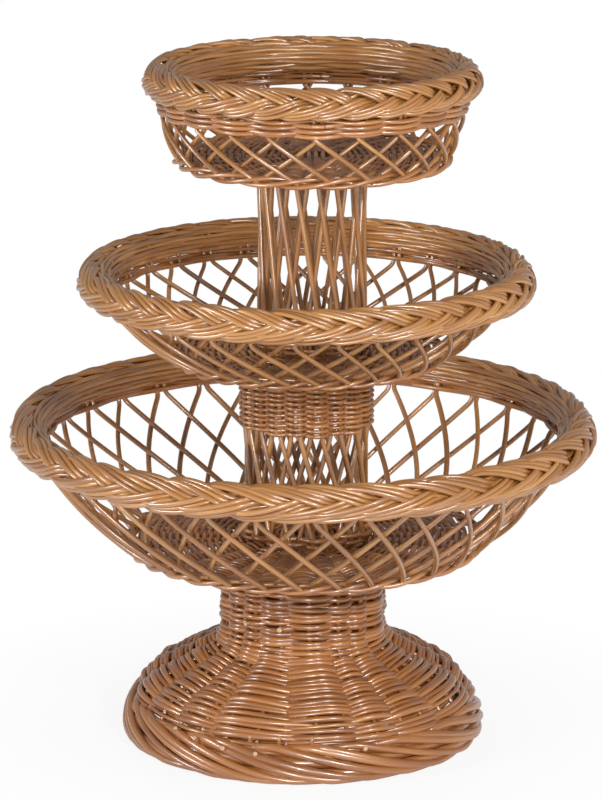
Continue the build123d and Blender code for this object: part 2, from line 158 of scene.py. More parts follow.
def makeGrainGroup():
    group = bpy.data.node_groups.new("willowGrain", "ShaderNodeTree")
    for name in ("Light", "Middle", "Dark"):
        addSocket(group, name, "NodeSocketColor", "INPUT")
    addSocket(group, "Color", "NodeSocketColor", "OUTPUT")
    addSocket(group, "Roughness", "NodeSocketFloat", "OUTPUT")
    addSocket(group, "Height", "NodeSocketFloat", "OUTPUT")
    nodes, links = group.nodes, group.links
    given = nodes.new("NodeGroupInput")
    result = nodes.new("NodeGroupOutput")

    def attribute(name):
        node = nodes.new("ShaderNodeAttribute")
        node.attribute_name = name
        return node

    def noise(scale, detail, rough):
        stretch = nodes.new("ShaderNodeVectorMath")
        stretch.operation = "MULTIPLY"
        stretch.inputs[1].default_value = scale
        links.new(space.outputs["Vector"], stretch.inputs[0])
        texture = nodes.new("ShaderNodeTexNoise")
        texture.inputs["Scale"].default_value = 1
        texture.inputs["Detail"].default_value = detail
        texture.inputs["Roughness"].default_value = rough
        links.new(stretch.outputs[0], texture.inputs["Vector"])
        return texture.outputs["Fac"]

    def remap(value, fromLow, fromHigh, toLow, toHigh):
        node = nodes.new("ShaderNodeMapRange")
        node.inputs["From Min"].default_value = fromLow
        node.inputs["From Max"].default_value = fromHigh
        node.inputs["To Min"].default_value = toLow
        node.inputs["To Max"].default_value = toHigh
        links.new(value, node.inputs["Value"])
        return node.outputs["Result"]

    def combine(operation, first, second):
        node = nodes.new("ShaderNodeMath")
        node.operation = operation
        for socket, value in zip(node.inputs, (first, second)):
            if isinstance(value, (int, float)):
                socket.default_value = value
            else:
                links.new(value, socket)
        return node.outputs[0]

    def blend(factor, first, second):
        node = nodes.new("ShaderNodeMix")
        node.data_type = "RGBA"
        links.new(factor, node.inputs["Factor"])
        colours = [socket for socket in node.inputs if socket.type == "RGBA"]
        for socket, value in zip(colours, (first, second)):
            if isinstance(value, tuple):
                socket.default_value = value
            else:
                links.new(value, socket)
        return [socket for socket in node.outputs if socket.type == "RGBA"][0]

    space = attribute("rodSpace")
    tone = attribute("rodTone")
    fibre = noise((26, 1500, 1500), 4, 0.6)  # thin lines along the rod
    cloud = noise((14, 160, 160), 3, 0.55)  # slow stain along the rod
    scar = noise((75, 420, 420), 2, 0.5)  # leaf scars and specks
    rodLean = remap(tone.outputs["Fac"], 0, 1, -0.22, 0.22)  # some rods are paler than others
    lean = combine("ADD", rodLean, remap(cloud, 0.3, 0.7, 0.2, 0.8))
    shade = blend(remap(lean, 0.0, 0.5, 0, 1), given.outputs["Dark"], given.outputs["Middle"])
    shade = blend(remap(lean, 0.5, 1.0, 0, 1), shade, given.outputs["Light"])
    shade = blend(remap(fibre, 0.35, 0.65, 0.4, 0), shade, given.outputs["Dark"])
    shade = blend(remap(scar, 0.72, 0.8, 0, 0.7), shade, (0.06, 0.022, 0.007, 1))
    links.new(shade, result.inputs["Color"])
    links.new(remap(fibre, 0.3, 0.7, 0.42, 0.28), result.inputs["Roughness"])
    links.new(combine("ADD", fibre, combine("MULTIPLY", cloud, 1.5)), result.inputs["Height"])
    return group


def willow(name, light, middle, dark):
    material = bpy.data.materials.new(name)
    material.use_nodes = True
    nodes, links = material.node_tree.nodes, material.node_tree.links
    shader = nodes["Principled BSDF"]
    grain = nodes.new("ShaderNodeGroup")
    grain.node_tree = grainGroup
    for socket, colour in (("Light", light), ("Middle", middle), ("Dark", dark)):
        grain.inputs[socket].default_value = (*colour, 1)
    bump = nodes.new("ShaderNodeBump")
    bump.inputs["Strength"].default_value = 0.25
    bump.inputs["Distance"].default_value = 0.0003
    links.new(grain.outputs["Height"], bump.inputs["Height"])
    links.new(bump.outputs["Normal"], shader.inputs["Normal"])
    links.new(grain.outputs["Color"], shader.inputs["Base Color"])
    links.new(grain.outputs["Roughness"], shader.inputs["Roughness"])
    shader.inputs["Specular IOR Level"].default_value = 0.9
    shader.inputs["Coat Weight"].default_value = 1  # varnish
    shader.inputs["Coat IOR"].default_value = 1.65
    shader.inputs["Coat Roughness"].default_value = 0.22
    return material


def makeCutEnd():
    material = bpy.data.materials.new("cutEnd")
    material.use_nodes = True
    nodes, links = material.node_tree.nodes, material.node_tree.links
    shader = nodes["Principled BSDF"]
    where = nodes.new("ShaderNodeTexCoord")
    pith = nodes.new("ShaderNodeTexNoise")
    pith.inputs["Scale"].default_value = 900
    pith.inputs["Detail"].default_value = 3
    ramp = nodes.new("ShaderNodeValToRGB")
    ramp.color_ramp.elements[0].color = (0.36, 0.21, 0.10, 1)
    ramp.color_ramp.elements[0].position = 0.35
    ramp.color_ramp.elements[1].color = (0.72, 0.52, 0.31, 1)
    ramp.color_ramp.elements[1].position = 0.6
    links.new(where.outputs["Object"], pith.inputs["Vector"])
    links.new(pith.outputs["Fac"], ramp.inputs["Fac"])
    links.new(ramp.outputs["Color"], shader.inputs["Base Color"])
    shader.inputs["Roughness"].default_value = 0.65
    return material


grainGroup = makeGrainGroup()
cutEnd = makeCutEnd()
looks = {  # name, then the light, middle and dark rods
    "willow_lattice": ("willowLattice", (0.58, 0.285, 0.081), (0.42, 0.178, 0.042), (0.24, 0.083, 0.018)),
    "willow_weave": ("willowWeave", (0.56, 0.245, 0.066), (0.41, 0.155, 0.035), (0.22, 0.069, 0.014)),
    "willow_plait": ("willowPlait", (0.62, 0.31, 0.089), (0.46, 0.198, 0.047), (0.26, 0.094, 0.020)),
    "willow_foot": ("willowFoot", (0.55, 0.232, 0.060), (0.39, 0.142, 0.031), (0.20, 0.062, 0.013)),
}
finishes = {slot: willow(*look) for slot, look in looks.items()}
print("materials ready")


# Bowls: the wall's line, its lattice, band, border, base edge and floor

bowls = {
    "lower": {
        "baseRadius": 152, "bandInset": 24, "bulge": 8, "bandHeight": 19.5,
        "rods": 32, "rodRadius": 2.3, "twist": 20.4, "bandRows": 6, "weaverRadius": 1.95,
        "plaitUnits": 42, "plaitLine": 71, "plaitSwing": 54, "plaitRod": 2.3, "plaitStep": 4.15,
        "innerFrom": -120, "innerRows": 7, "baseTurns": 11, "seed": 11,
    },
    "middle": {
        "baseRadius": 115, "bandInset": 26, "bulge": 6, "bandHeight": 21.5,
        "rods": 30, "rodRadius": 2.1, "twist": 21.5, "bandRows": 7, "weaverRadius": 1.85,
        "plaitUnits": 39, "plaitLine": 70, "plaitSwing": 50, "plaitRod": 2.05, "plaitStep": 3.75,
        "innerFrom": -120, "innerRows": 7, "baseTurns": 10, "seed": 12,
    },
    "upper": {
        "baseRadius": 113.5, "bandInset": 15, "bulge": 3.2, "bandHeight": 13.9,
        "rods": 22, "rodRadius": 1.95, "twist": 24.2, "bandRows": 6, "weaverRadius": 2.1,
        "plaitUnits": 33, "plaitLine": 63, "plaitSwing": 49, "plaitRod": 1.8, "plaitStep": 3.25,
        "innerFrom": -165, "innerRows": 10, "baseTurns": 7, "seed": 13,
    },
}
bandLean = math.radians(12)  # of every wall band from upright
kneePull = 1.4  # how far the wall's curve is pulled out at its knee, in bulges
border = {"halfWidth": 14.5, "coreWide": 10.2, "coreTall": 10.7}  # of the plaits, as in the solids


def readBowl(name, bowl):
    coreLow, coreHigh = nodeBox(f"{name}_plait_core")
    baseLow, baseHigh = nodeBox(f"{name}_base_edge")
    bandTop = nodeBox(f"{name}_wall_band")[1][2]
    floorLow, floorHigh = nodeBox(f"{name}_floor_weave")
    rollRadius = (coreHigh[0] - coreLow[0]) / 2 - border["coreWide"]
    bowl["axis"] = (coreLow[0] + coreHigh[0]) / 2
    bowl["roll"] = np.array([rollRadius, coreHigh[2] - border["coreTall"]])
    bowl["base"] = np.array([bowl["baseRadius"], (baseLow[2] + baseHigh[2]) / 2])
    bandRadius = rollRadius + border["halfWidth"] - bowl["bandInset"]
    bowl["band"] = np.array([bandRadius, bandTop - bowl["bandHeight"]])
    chord = bowl["band"] - bowl["base"]
    bowl["wallLength"] = np.linalg.norm(chord)
    chord = chord / bowl["wallLength"]
    outward = np.array([chord[1], -chord[0]])
    bowl["knee"] = (bowl["base"] + bowl["band"]) / 2 + outward * kneePull * bowl["bulge"]
    bowl["bandLength"] = bowl["bandHeight"] / math.cos(bandLean)
    bowl["floorLow"], bowl["floorHigh"] = floorLow[2], floorHigh[2]


def wallPoint(bowl, t, shift):  # t is 0 at the base edge, 1 at the foot of the band and more above it
    s = np.minimum(t, 1)[:, None]
    base, knee, band = bowl["base"], bowl["knee"], bowl["band"]
    line = (1 - s) ** 2 * base + 2 * s * (1 - s) * knee + s ** 2 * band
    run = (1 - s) * (knee - base) + s * (band - knee)
    run = run / np.linalg.norm(run, axis=1)[:, None]
    upright = np.array([math.sin(bandLean), math.cos(bandLean)])
    run = np.where(t[:, None] > 1, upright, run)
    line = line + np.maximum(t - 1, 0)[:, None] * bowl["wallLength"] * upright
    return line[:, 0] + run[:, 1] * shift, line[:, 1] - run[:, 0] * shift


lattice = {
    "crossGap": 0.6,  # between the two sets where they cross
    "pairShare": 0.23,  # an inner rod starts this far beside an outer one, in pitches
    "elbow": 0.965,  # where a rod turns upright, as a share of the wall
    "gather": 0.8, "gatherFrom": 0.93, "gatherTo": 1.06,  # the two sets close up in the band
    "tuck": 0.035,  # below the base edge's middle
    "intoPlait": 3,
    "wallEnd": 0.85, "wallSteps": 16, "elbowStart": 0.875, "elbowSteps": 20,  # points along a rod
    "startDrift": 0.04, "endDrift": 0.025, "bellyDrift": 0.02,  # hand made, in pitches
    "wallDrift": 0.3, "girth": 1.03, "girthDrift": 0.05, "taper": 0.06,
}


def pairAngle(bowl, side):  # where a set's rods stand in the band, from the first base angle
    pitch = fullTurn / bowl["rods"]
    start = 0 if side > 0 else lattice["pairShare"] * pitch
    return start - side * math.radians(bowl["twist"])


def pairMiddle(bowl):  # middle of the first pair of rods in the band
    pitch = fullTurn / bowl["rods"]
    outer = pairAngle(bowl, 1)
    apart = (pairAngle(bowl, -1) - outer + pitch / 2) % pitch - pitch / 2
    return outer + apart / 2


def latticeRods(bowl, side):
    dice = np.random.default_rng(bowl["seed"] * 10 + side)
    pitch = fullTurn / bowl["rods"]
    crossing = bowl["rodRadius"] + lattice["crossGap"] / 2
    top = 1 + (bowl["bandLength"] + lattice["intoPlait"]) / bowl["wallLength"]
    t = np.concatenate([
        np.linspace(-lattice["tuck"], lattice["wallEnd"], lattice["wallSteps"]),
        np.linspace(lattice["elbowStart"], top, lattice["elbowSteps"]),
    ])
    gather = 1 - lattice["gather"] * easeStep(t, lattice["gatherFrom"], lattice["gatherTo"])
    belly = np.sin(np.pi * np.clip(t, 0, 1))
    rods = []
    for index in range(bowl["rods"]):
        begin = index * pitch + (0 if side > 0 else lattice["pairShare"] * pitch)
        begin = begin + dice.normal() * lattice["startDrift"] * pitch
        end = index * pitch + pairAngle(bowl, side) + dice.normal() * lattice["endDrift"] * pitch
        a = begin + (end - begin) * np.clip(t / lattice["elbow"], -0.1, 1)
        a = a + dice.normal() * lattice["bellyDrift"] * pitch * belly
        shift = side * crossing * gather + lattice["wallDrift"] * dice.normal() * belly
        r, z = wallPoint(bowl, t, shift)
        line = soften(roundAxis(bowl["axis"], r, a, z), passes=3)
        taper = 1 + lattice["girthDrift"] * dice.normal() - lattice["taper"] * t
        rods.append((line, bowl["rodRadius"] * lattice["girth"] * taper))
    return rods


wallBand = {
    "stepsPerRod": 8, "overlap": 1.015,  # of a turn: a weaver's ends lie one on the other
    "reach": 0.9,  # of the radii of rod and weaver together
    "pairRise": 0.9,  # the lowest row is a pair of weavers that cross
    "sway": 0.3, "girthDrift": 0.07, "taper": 0.08, "taperStart": 6,
}


def bandRods(bowl):
    dice = np.random.default_rng(bowl["seed"] * 10 + 2)
    middle = pairMiddle(bowl)
    steps = bowl["rods"] * wallBand["stepsPerRod"]
    rowStep = bowl["bandLength"] / bowl["bandRows"]
    reach = (bowl["rodRadius"] + bowl["weaverRadius"]) * wallBand["reach"]
    heights = [(row, (row + 0.5) * rowStep) for row in range(bowl["bandRows"])]
    heights.append((1, 0.5 * rowStep + wallBand["pairRise"]))
    rods = []
    for row, up in heights:
        a = dice.uniform(0, fullTurn) + np.linspace(0, fullTurn * wallBand["overlap"], steps + 1)
        t = 1 + (up + drift(a, wallBand["sway"], dice)) / bowl["wallLength"]
        wave = np.cos(bowl["rods"] / 2 * (a - middle) + np.pi * row)
        thick = 1 + wallBand["girthDrift"] * dice.normal()
        thick = thick + wallBand["taper"] * np.sin(a + dice.uniform(0, wallBand["taperStart"]))
        r, z = wallPoint(bowl, t, wave * reach)
        rods.append((roundAxis(bowl["axis"], r, a, z), bowl["weaverRadius"] * thick))
    return rods


plait = {
    "strands": 7, "rodsPerStrand": 3, "stepsPerUnit": 10,
    "skew": math.radians(6),  # the upper run of a strand is longer than the lower one
    "middleLift": 1.6, "ride": 3.7,  # a strand lies this far above or below the middle layer
    "sharpness": 2.5,  # of the change from above to below
    "tilt": math.radians(15),  # of the band of rods where a strand turns back
    "uneven": 0.13,  # a strand runs a little early or late
    "sway": 0.25, "swayWaves": (3, 7, 11, 17), "girthDrift": 0.06, "taper": 0.1,
}


def rollPoint(bowl, a, slant, lift):  # slant is measured outward from the crest
    r = bowl["roll"][0] + (border["coreWide"] + lift) * np.sin(slant)
    z = bowl["roll"][1] + (border["coreTall"] + lift) * np.cos(slant)
    return roundAxis(bowl["axis"], r, a, z)


def plaitRods(bowl):
    dice = np.random.default_rng(bowl["seed"] * 10 + 3)
    waves = bowl["plaitUnits"] / plait["strands"]
    chevron, swing = math.radians(bowl["plaitLine"]), math.radians(bowl["plaitSwing"])
    a = math.pi / 2 + np.linspace(0, fullTurn, bowl["plaitUnits"] * plait["stepsPerUnit"] + 1)
    rods = []
    for strand in range(plait["strands"]):
        phase = waves * a + strand * fullTurn / plait["strands"] + drift(a, plait["uneven"], dice)
        turn = np.sin(phase)
        slant = chevron + swing * turn - plait["skew"] * turn ** 2
        lift = plait["middleLift"] - plait["ride"] * np.tanh(plait["sharpness"] * np.sin(2 * phase))
        line = rollPoint(bowl, a, slant, lift)
        out = np.stack([np.sin(slant) * np.cos(a), np.sin(slant) * np.sin(a), np.cos(slant)], axis=1)
        along = np.gradient(line, axis=0)
        along = along / np.linalg.norm(along, axis=1)[:, None]
        across = np.cross(out, along)
        tilt = plait["tilt"] * turn ** 3
        for place in range(plait["rodsPerStrand"]):
            step = (place - (plait["rodsPerStrand"] - 1) / 2) * bowl["plaitStep"]
            step = step + drift(a, plait["sway"], dice, plait["swayWaves"])
            side = across * (step * np.cos(tilt))[:, None] + out * (step * np.sin(tilt))[:, None]
            thick = 1 + plait["girthDrift"] * dice.normal()
            thick = thick + plait["taper"] * np.sin(3 * a + dice.uniform(0, fullTurn))
            rods.append((line + side, bowl["plaitRod"] * thick))
    return rods


plaitCore = {
    "innerTo": 12,  # rows are woven on the inner side, up to just past the crest
    "rowRadius": 2.2, "rowWave": 1.2, "rowLift": 0.9, "rowSway": 0.025, "girthDrift": 0.08,
    "endLift": -1.2, "endLean": 0.02, "endGirth": 0.85, "endTaper": 0.1, "endSteps": 10,  # of the wall rods
    "laidRods": 5, "laidReach": 4.2, "laidRadius": 2.9, "laidSway": 0.4, "laidTurn": 0.6,
}


def plaitCoreRods(bowl):
    dice = np.random.default_rng(bowl["seed"] * 10 + 7)
    rods = []
    u = np.linspace(0, 1, plaitCore["endSteps"])
    innerSpan = plaitCore["innerTo"] - bowl["innerFrom"]
    slant = np.radians(bowl["innerFrom"] + innerSpan * u)
    for index in range(bowl["rods"]):  # the wall rods' own ends, up the inner side
        for side in (1, -1):
            stand = index * fullTurn / bowl["rods"] + pairAngle(bowl, side)
            line = rollPoint(bowl, stand - plaitCore["endLean"] * u, slant, plaitCore["endLift"] - u)
            girth = bowl["rodRadius"] * plaitCore["endGirth"] * (1 - plaitCore["endTaper"] * u)
            rods.append((line, girth))
    a = np.linspace(0, fullTurn, bowl["rods"] * wallBand["stepsPerRod"] + 1)
    middle = pairMiddle(bowl)
    for row in range(bowl["innerRows"]):
        place = (row + 0.5) / bowl["innerRows"]
        lean = np.radians(bowl["innerFrom"] + innerSpan * place) + drift(a, plaitCore["rowSway"], dice)
        wave = np.cos(bowl["rods"] / 2 * (a - middle) + np.pi * row)
        lift = plaitCore["rowLift"] + plaitCore["rowWave"] * wave
        girth = plaitCore["rowRadius"] * (1 + plaitCore["girthDrift"] * dice.normal())
        rods.append((rollPoint(bowl, a, lean, lift), girth))
    reach = plaitCore["laidReach"]
    for turn in range(plaitCore["laidRods"]):  # lengths that run along inside the roll
        lean = turn * fullTurn / plaitCore["laidRods"] + plaitCore["laidTurn"]
        r = bowl["roll"][0] + reach * math.sin(lean) + drift(a, plaitCore["laidSway"], dice)
        line = roundAxis(bowl["axis"], r, a, bowl["roll"][1] + reach * math.cos(lean))
        rods.append((line, plaitCore["laidRadius"]))
    return rods


baseEdge = {
    "strandRadius": 2.15, "layWide": 4.1, "layTall": 3.2, "strands": 3, "drop": 1.5,
    "stepsPerTurn": 26, "sway": 0.3,
}


def baseRods(bowl):
    dice = np.random.default_rng(bowl["seed"] * 10 + 4)
    a = np.linspace(0, fullTurn, bowl["baseTurns"] * baseEdge["stepsPerTurn"] + 1)
    height = bowl["base"][1] - baseEdge["drop"]
    rods = []
    for strand in range(baseEdge["strands"]):
        lay = bowl["baseTurns"] * a + strand * fullTurn / baseEdge["strands"]
        r = bowl["base"][0] + baseEdge["layWide"] * np.cos(lay) + drift(a, baseEdge["sway"], dice)
        z = height + baseEdge["layTall"] * np.sin(lay) + drift(a, baseEdge["sway"], dice)
        rods.append((roundAxis(bowl["axis"], r, a, z), baseEdge["strandRadius"]))
    return rods


floor = {
    "stickRadius": 2, "stickStep": 6, "sticks": 4, "weaverRadius": 1.95, "rowStep": 3.0,
    "firstRow": 20, "fanFrom": 15, "fanTo": 29, "splitRadius": 62, "edgeGap": 7.5,
    "crossLift": 2.4, "crossFrom": 12, "crossTo": 26,  # one set of sticks lies over the other
    "byStickOverlap": 12, "byStickGirth": 0.9,
    "stickSteps": 32, "byStickSteps": 8, "stepsPerStick": 6,  # of sticks, by-sticks and weavers
    "reach": 0.75,  # of the radii of stick and weaver together
    "sway": 0.3, "girthDrift": 0.1,
}
spokes = 4 * floor["sticks"]  # two crossed sets, and both ends of every stick


def stickRods(bowl):
    centre = (bowl["floorLow"] + bowl["floorHigh"]) / 2
    reach = bowl["baseRadius"] - floor["edgeGap"]
    fan = math.pi / 2 / floor["sticks"]
    span = np.linspace(-1, 1, floor["stickSteps"] + 1)
    rods = []
    for layer in (0, 1):
        for index in range(floor["sticks"]):
            step = index - (floor["sticks"] - 1) / 2
            x = span * reach * np.cos(step * fan * np.abs(span))
            spread = easeStep(np.abs(x), floor["fanFrom"], floor["fanTo"])
            flat = step * floor["stickStep"]
            y = flat + spread * (np.abs(x) * math.tan(step * fan) - flat)
            over = 1 - easeStep(np.abs(x), floor["crossFrom"], floor["crossTo"])
            z = centre + (layer * 2 - 1) * floor["crossLift"] * over
            if layer:
                x, y = -y, x
            rods.append((np.stack([bowl["axis"] + x, y, z], axis=1), floor["stickRadius"]))
    r = np.linspace(floor["splitRadius"] - floor["byStickOverlap"], reach, floor["byStickSteps"] + 1)
    for index in range(spokes):  # by-sticks pushed in further out
        a = (index + 0.5) * fullTurn / spokes
        line = roundAxis(bowl["axis"], r, a, centre)
        rods.append((line, floor["stickRadius"] * floor["byStickGirth"]))
    return rods


def floorRods(bowl):
    dice = np.random.default_rng(bowl["seed"] * 10 + 6)
    centre = (bowl["floorLow"] + bowl["floorHigh"]) / 2
    reach = bowl["baseRadius"] - floor["edgeGap"]
    rows = int((reach - floor["firstRow"]) / floor["rowStep"]) + 1
    rods = []
    for row in range(rows):
        r0 = floor["firstRow"] + row * floor["rowStep"]
        stakes = spokes if r0 < floor["splitRadius"] else 2 * spokes
        turn = np.linspace(0, fullTurn, stakes * floor["stepsPerStick"] + 1)
        a = turn + dice.integers(stakes) * fullTurn / stakes
        offset = 0.5 * fullTurn / spokes if stakes == spokes else 0
        wave = np.cos(stakes / 2 * (a - offset) + np.pi * row)
        r = r0 + drift(a, floor["sway"], dice)
        z = centre + wave * (floor["stickRadius"] + floor["weaverRadius"]) * floor["reach"]
        girth = floor["weaverRadius"] * (1 + floor["girthDrift"] * dice.normal())
        rods.append((roundAxis(bowl["axis"], r, a, z), girth))
    return rods


for name, bowl in bowls.items():
    readBowl(name, bowl)
    for label, node, slot, rods, sides in (
        ("LatticeOuter", "lattice_outer", "willow_lattice", latticeRods(bowl, 1), 10),
        ("LatticeInner", "lattice_inner", "willow_lattice", latticeRods(bowl, -1), 10),
        ("WallBand", "wall_band", "willow_weave", bandRods(bowl), 8),
        ("PlaitBorder", "plait_border", "willow_plait", plaitRods(bowl), 8),
        ("PlaitCore", "plait_core", "willow_plait", plaitCoreRods(bowl), 8),
        ("BaseEdge", "base_edge", "willow_weave", baseRods(bowl), 8),
        ("FloorSticks", "floor_sticks", "willow_weave", stickRods(bowl), 8),
        ("FloorWeave", "floor_weave", "willow_weave", floorRods(bowl), 6),
    ):
        makePiece(name + label, rods, f"{name}_tier", [f"{name}_{node}"], slot, bowl["seed"], sides)
print("bowls woven")


# Columns: crossed rods that stand in pairs in the collar under the bowl

columns = {
    "middle": {
        "radius": 58.5, "rods": 18, "rodRadius": 2.25, "lean": 17, "pairGap": 7.5,
        "collarRows": 25, "weaverRadius": 1.8, "seed": 21,
    },
    "upper": {
        "radius": 51, "rods": 16, "rodRadius": 2.15, "lean": 9, "pairGap": 7.5,
        "collarRows": 3, "weaverRadius": 1.6, "seed": 22,
    },
}


columnRod = {
    "skin": 1.8,  # from the rods' outer side to the column's outer side
    "footRise": 1.5, "intoFloor": 3, "steps": 14,
    "sideGap": 0.3,  # beside the circle that the two sets share
    "upperShare": 0.4,  # of that, once a rod stands in the collar
    "standDrift": 0.012, "leanDrift": 0.06, "girthDrift": 0.05,
}
collar = {
    "stepsPerRod": 8, "overlap": 1.02,  # of a turn
    "reach": 1.3,  # past a rod's middle, in rod radii
    "sway": 0.2, "rise": 0.35, "girthDrift": 0.12, "ringRows": 3, "ringGap": 0.3,
}


def readColumn(name, column):
    low, high = nodeBox(f"{name}_column_collar")
    ringLow, ringHigh = nodeBox(f"{name}_column_ring")
    column["axis"] = (low[0] + high[0]) / 2
    column["collarLow"], column["top"] = low[2], high[2]
    column["bottom"], column["ringTop"] = ringLow[2], ringHigh[2]
    column["middle"] = column["radius"] - column["rodRadius"] * 2 - columnRod["skin"]


def columnRods(column, side):
    dice = np.random.default_rng(column["seed"] * 10 + side)
    low, bend = column["bottom"] + columnRod["footRise"], column["collarLow"]
    top = column["top"] + columnRod["intoFloor"]
    swing = (bend - low) * math.tan(math.radians(column["lean"])) / column["middle"]
    beside = side * (column["rodRadius"] + columnRod["sideGap"])
    radii = column["middle"] + beside * np.array([1, columnRod["upperShare"], columnRod["upperShare"]])
    share = np.linspace(0, 1, columnRod["steps"])[:, None]
    rods = []
    for index in range(column["rods"]):
        stand = index * fullTurn / column["rods"] + side * column["pairGap"] / 2 / column["middle"]
        stand = stand + columnRod["standDrift"] * dice.normal()
        below = stand + side * swing * (1 + columnRod["leanDrift"] * dice.normal())
        angles = np.array([below, stand, stand])
        corners = roundAxis(column["axis"], radii, angles, np.array([low, bend, top]))
        leaning = corners[0] + (corners[1] - corners[0]) * share
        upright = corners[1] + (corners[2] - corners[1]) * share[1:]
        line = soften(np.concatenate([leaning, upright]), passes=2)
        rods.append((line, column["rodRadius"] * (1 + columnRod["girthDrift"] * dice.normal())))
    return rods


def collarRods(column, low, high, rows, seed):
    dice = np.random.default_rng(seed)
    step = (high - low) / rows
    reach = column["rodRadius"] * collar["reach"] + column["weaverRadius"]
    turn = np.linspace(0, fullTurn * collar["overlap"], column["rods"] * collar["stepsPerRod"] + 1)
    rods = []
    for row in range(rows):
        a = turn + dice.uniform(0, fullTurn)
        wave = np.cos(column["rods"] / 2 * a + np.pi * row)
        r = column["middle"] + wave * reach + drift(a, collar["sway"], dice)
        z = low + (row + 0.5) * step + drift(a, collar["rise"], dice)
        girth = column["weaverRadius"] * (1 + collar["girthDrift"] * dice.normal())
        rods.append((roundAxis(column["axis"], r, a, z), girth))
    return rods


for name, column in columns.items():
    readColumn(name, column)
    seed = column["seed"]
    ringLow = column["bottom"] + collar["ringGap"]
    ringRods = collarRods(column, ringLow, column["ringTop"], collar["ringRows"], seed * 10 + 4)
    upperRods = collarRods(column, column["collarLow"], column["top"], column["collarRows"], seed * 10 + 5)
    for label, node, slot, rods in (
        ("ColumnRodsOuter", "column_rods_outer", "willow_lattice", columnRods(column, 1)),
        ("ColumnRodsInner", "column_rods_inner", "willow_lattice", columnRods(column, -1)),
        ("ColumnRing", "column_ring", "willow_weave", ringRods),
        ("ColumnCollar", "column_collar", "willow_weave", upperRods),
    ):
        makePiece(name + label, rods, f"{name}_tier", [f"{name}_{node}"], slot, seed)
print("columns woven")


# Foot: neck and flare woven on stakes, with a tall rolled border on the floor

foot = {
    "neckRadius": 67.05, "neckEnd": 82, "skirtCorner": (137.55, 45), "neckTurn": 16.9, "skirtTurn": 15.5,
    "border": (147.17, 18.53), "weaveEnd": 3,  # up from the border's middle, along the meridian
    "stakes": 17, "stakeRadius": 2.1, "byStakeStart": 103, "intoBorder": 8, "stakeDrift": 0.008,
    "turnSteps": 9, "slopeReach": 2, "stakeSteps": 40, "byStakeSteps": 20,
    "coarseHeight": 20, "seed": 31,
}


def footMeridian():
    neckTop = nodeBox("neck_weave")[1][2]
    corners = [
        np.array([foot["neckRadius"], neckTop]), np.array([foot["neckRadius"], foot["neckEnd"]]),
        np.array(foot["skirtCorner"]), np.array(foot["border"]),
    ]
    line = [corners[0]]
    cuts = (foot["neckTurn"], foot["skirtTurn"])
    for before, corner, after, cut in zip(corners, corners[1:], corners[2:], cuts):
        start = corner + (before - corner) / np.linalg.norm(before - corner) * cut
        end = corner + (after - corner) / np.linalg.norm(after - corner) * cut
        for s in np.linspace(0, 1, foot["turnSteps"]):
            line.append((1 - s) ** 2 * start + 2 * s * (1 - s) * corner + s ** 2 * end)
    line.append(corners[-1])
    line = np.array(line)
    length = np.concatenate([[0], np.cumsum(np.linalg.norm(np.diff(line, axis=0), axis=1))])
    return line, length


meridian, meridianLength = footMeridian()
footEnd = meridianLength[-1] - foot["weaveEnd"]


def alongMeridian(m):  # m runs down the foot from the bowl
    return np.interp(m, meridianLength, meridian[:, 0]), np.interp(m, meridianLength, meridian[:, 1])


def footPoint(m, shift):  # shift stands out from the meridian
    r, z = alongMeridian(m)
    above, below = alongMeridian(m - foot["slopeReach"]), alongMeridian(m + foot["slopeReach"])
    dr, dz = below[0] - above[0], below[1] - above[1]
    size = np.hypot(dr, dz)
    return r - dz / size * shift, z + dr / size * shift


def footStakeRods():
    dice = np.random.default_rng(foot["seed"])
    rods = []
    for index in range(2 * foot["stakes"]):  # every second one is a by-stake in the flare
        start, steps = 0, foot["stakeSteps"]
        if index % 2:
            start, steps = foot["byStakeStart"], foot["byStakeSteps"]
        m = np.linspace(start, footEnd + foot["intoBorder"], steps)
        a = index * math.pi / foot["stakes"] + np.zeros(steps) + foot["stakeDrift"] * dice.normal()
        r, z = footPoint(m, 0)
        rods.append((roundAxis(0, r, a, z), foot["stakeRadius"]))
    return rods


footWeaver = {
    "butt": 3.0, "tip": 1.8, "length": 1000, "packing": 1.04, "stepsPerStake": 8,
    "reach": 0.88,  # of the radii of stake and weaver together
    "sway": 0.9, "swayTurns": (1.9, 4.7), "swayShare": 0.8,
    "stakeDrift": 0.6, "driftDown": 0.006,  # the bumps aren't evenly spaced
    "hidden": -0.9,  # a weaver ends where it is behind a stake
}
cutEnds = {  # butts that stand out between the rows, cut pale
    "places": ((-131, 54), (-105.5, 55)),  # angle, and way down the neck
    "length": 13, "radius": 2.3,
    "out": (-1, 3.5, 5.5, 6.4, 9), "beside": (1, 0.55, 0.25, 0.03, 0),  # the last step points straight out
}


